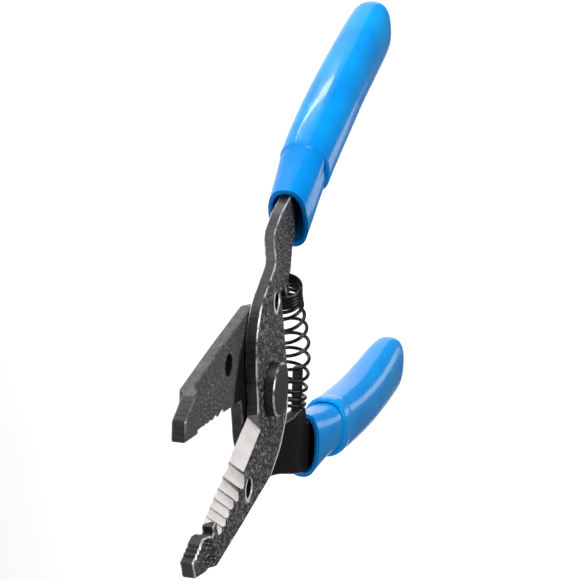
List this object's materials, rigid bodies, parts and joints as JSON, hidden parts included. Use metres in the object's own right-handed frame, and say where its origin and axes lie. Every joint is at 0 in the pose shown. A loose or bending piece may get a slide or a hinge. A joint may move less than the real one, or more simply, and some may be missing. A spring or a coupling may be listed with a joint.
{
  "type": "wire stripper",
  "caption": "Hand wire stripper: two pivoted levers with notched blades, serrated nose, return spring and dipped vinyl grips, resting open.",
  "frame": {"origin": "centre of the rear face of the pivot rivet, on the pivot axis", "axes": "+X along the handles away from the jaws, +Y toward the front lever's handle, +Z along the pivot axis out of the front rivet head"},
  "size_m": [0.1719, 0.1093, 0.0145],
  "materials": {
    "front_lever_steel": "black oxide with ground silver bevel",
    "rear_lever_steel": "black oxide with ground silver bevel",
    "rivet_steel": "black oxide",
    "spring_wire": "oil-black wire",
    "front_first_dip_vinyl": "glossy blue vinyl dip",
    "front_second_dip_vinyl": "glossy blue vinyl dip",
    "rear_first_dip_vinyl": "glossy blue vinyl dip",
    "rear_second_dip_vinyl": "glossy blue vinyl dip"
  },
  "bodies": {
    "rear_half": {"rear_lever": "rear_lever_steel", "rear_grip_first_dip": "rear_first_dip_vinyl", "rear_grip_second_dip": "rear_second_dip_vinyl", "pivot_rivet": "rivet_steel", "return_spring": "spring_wire"},
    "front_half": {"front_lever": "front_lever_steel", "front_grip_first_dip": "front_first_dip_vinyl", "front_grip_second_dip": "front_second_dip_vinyl"}
  },
  "joints": [
    {"name": "pivot", "type": "hinge", "parent": "rear_half", "child": "front_half", "pos_m": [0, 0, 0.0042], "axis": [0, 0, 1], "range_deg": [-28.2, 0], "stiffness_Nm_per_rad": 0.3, "springref_deg": 20.05, "deforming": ["return_spring"]}
  ]
}
